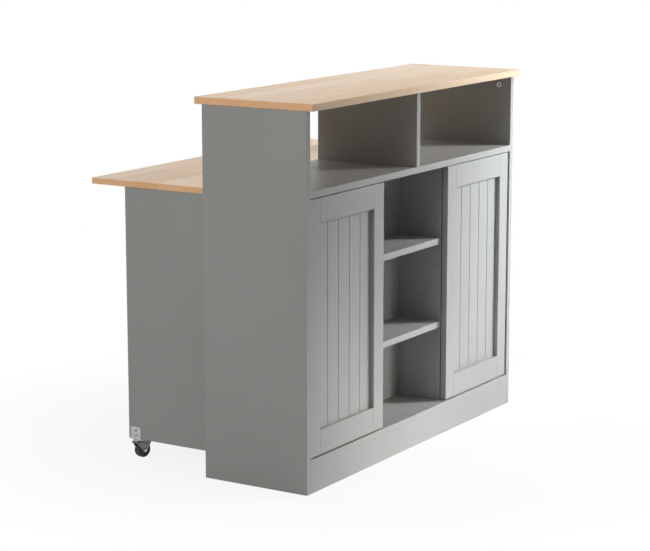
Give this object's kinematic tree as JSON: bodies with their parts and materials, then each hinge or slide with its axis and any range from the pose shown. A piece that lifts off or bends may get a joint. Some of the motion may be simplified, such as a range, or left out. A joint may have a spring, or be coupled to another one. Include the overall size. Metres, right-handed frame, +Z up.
{
  "type": "kitchen island",
  "caption": "Tall kitchen island with a bar-height wooden top, open niches, panelled doors, an open shelf bay and a lower wooden table on casters that rolls out of its back.",
  "frame": {"origin": "on the floor, under the middle of the island's outline with the table pulled out", "axes": "+X along the island's length, to the right of a person facing the doors; +Y from the doors towards the table; +Z up"},
  "size_m": [1.15, 0.746, 1.017],
  "materials": {
    "painted_board": "satin grey paint on fibreboard",
    "oiled_wood": "satin lacquer on glued staves",
    "nickel_plate": "nickel plated",
    "zinc_plate": "bright zinc plated",
    "wheel_rubber": "matte black",
    "black_plastic": "moulded, matte",
    "beech_dowel": "raw, fluted",
    "clear_bumper": "soft, translucent"
  },
  "bodies": {
    "cabinet": {"bar_top": "oiled_wood", "left_end_panel": "painted_board", "right_end_panel": "painted_board", "niche_floor": "painted_board", "niche_divider": "painted_board", "bottom_board": "painted_board", "left_partition": "painted_board", "right_partition": "painted_board", "front_plinth": "painted_board", "rear_plinth": "painted_board", "back_panel": "painted_board", "bay_shelf_upper": "painted_board", "bay_shelf_lower": "painted_board", "left_cupboard_shelf": "painted_board", "right_cupboard_shelf": "painted_board", "shelf_pins": "nickel_plate", "cam_locks": "nickel_plate", "cam_bolts": "zinc_plate", "wood_dowels": "beech_dowel", "back_panel_screws": "zinc_plate", "mounting_screws": "zinc_plate", "hinge_arms": "nickel_plate", "door_bumpers": "clear_bumper", "guide_cleats": "painted_board"},
    "table": {"table_worktop": "oiled_wood", "table_left_leg": "painted_board", "table_right_leg": "painted_board", "table_upper_rail": "painted_board", "table_lower_rail": "painted_board", "table_cam_locks": "nickel_plate", "table_cam_bolts": "zinc_plate", "guide_pins": "zinc_plate", "caster_plates": "zinc_plate", "caster_screws": "zinc_plate"},
    "left_door": {"left_door_hinge_stile": "painted_board", "left_door_free_stile": "painted_board", "left_door_rails": "painted_board", "left_door_panel": "painted_board", "left_door_hinge_cups": "nickel_plate"},
    "right_door": {"right_door_hinge_stile": "painted_board", "right_door_free_stile": "painted_board", "right_door_rails": "painted_board", "right_door_panel": "painted_board", "right_door_hinge_cups": "nickel_plate"},
    "outer_left_caster": {"outer_left_caster_fork": "zinc_plate", "outer_left_caster_axle": "zinc_plate"},
    "outer_left_wheel": {"outer_left_caster_wheel": "wheel_rubber"},
    "outer_right_caster": {"outer_right_caster_fork": "zinc_plate", "outer_right_caster_axle": "zinc_plate"},
    "outer_right_wheel": {"outer_right_caster_wheel": "wheel_rubber"},
    "inner_left_caster": {"inner_left_caster_fork": "zinc_plate", "inner_left_caster_axle": "zinc_plate"},
    "inner_left_wheel": {"inner_left_caster_wheel": "wheel_rubber"},
    "inner_right_caster": {"inner_right_caster_fork": "zinc_plate", "inner_right_caster_axle": "zinc_plate"},
    "inner_right_wheel": {"inner_right_caster_wheel": "wheel_rubber"},
    "outer_left_brake": {"outer_left_brake_pedal": "black_plastic"},
    "outer_right_brake": {"outer_right_brake_pedal": "black_plastic"}
  },
  "joints": [
    {"name": "left_door_hinge", "type": "hinge", "parent": "cabinet", "child": "left_door", "pos_m": [-0.543, -0.3414, 0.432], "axis": [0, 0, -1], "range_deg": [0, 100]},
    {"name": "right_door_hinge", "type": "hinge", "parent": "cabinet", "child": "right_door", "pos_m": [0.543, -0.3414, 0.432], "axis": [0, 0, 1], "range_deg": [0, 100]},
    {"name": "table_slide", "type": "slide", "parent": "cabinet", "child": "table", "axis": [0, -1, 0], "range_m": [0, 0.105]},
    {"name": "outer_left_swivel", "type": "hinge", "parent": "table", "child": "outer_left_caster", "pos_m": [-0.516, 0.237, 0.053], "axis": [0, 0, 1], "continuous": true},
    {"name": "outer_left_roll", "type": "hinge", "parent": "outer_left_caster", "child": "outer_left_wheel", "pos_m": [-0.49861, 0.23234, 0.0215], "axis": [0.2588, 0.9659, 0], "continuous": true},
    {"name": "outer_right_swivel", "type": "hinge", "parent": "table", "child": "outer_right_caster", "pos_m": [0.516, 0.237, 0.053], "axis": [0, 0, 1], "continuous": true},
    {"name": "outer_right_roll", "type": "hinge", "parent": "outer_right_caster", "child": "outer_right_wheel", "pos_m": [0.49861, 0.23234, 0.0215], "axis": [0.2588, -0.9659, 0], "continuous": true},
    {"name": "inner_left_swivel", "type": "hinge", "parent": "table", "child": "inner_left_caster", "pos_m": [-0.516, -0.042, 0.053], "axis": [0, 0, 1], "continuous": true},
    {"name": "inner_left_roll", "type": "hinge", "parent": "inner_left_caster", "child": "inner_left_wheel", "pos_m": [-0.516, -0.06, 0.0215], "axis": [1, 0, 0], "continuous": true},
    {"name": "inner_right_swivel", "type": "hinge", "parent": "table", "child": "inner_right_caster", "pos_m": [0.516, -0.042, 0.053], "axis": [0, 0, 1], "continuous": true},
    {"name": "inner_right_roll", "type": "hinge", "parent": "inner_right_caster", "child": "inner_right_wheel", "pos_m": [0.516, -0.06, 0.0215], "axis": [1, 0, 0], "continuous": true},
    {"name": "outer_left_brake_press", "type": "hinge", "parent": "outer_left_caster", "child": "outer_left_brake", "pos_m": [-0.48316, 0.2282, 0.0412], "axis": [0.2588, 0.9659, 0], "range_deg": [0, 17]},
    {"name": "outer_right_brake_press", "type": "hinge", "parent": "outer_right_caster", "child": "outer_right_brake", "pos_m": [0.48316, 0.2282, 0.0412], "axis": [0.2588, -0.9659, 0], "range_deg": [0, 17]}
  ]
}
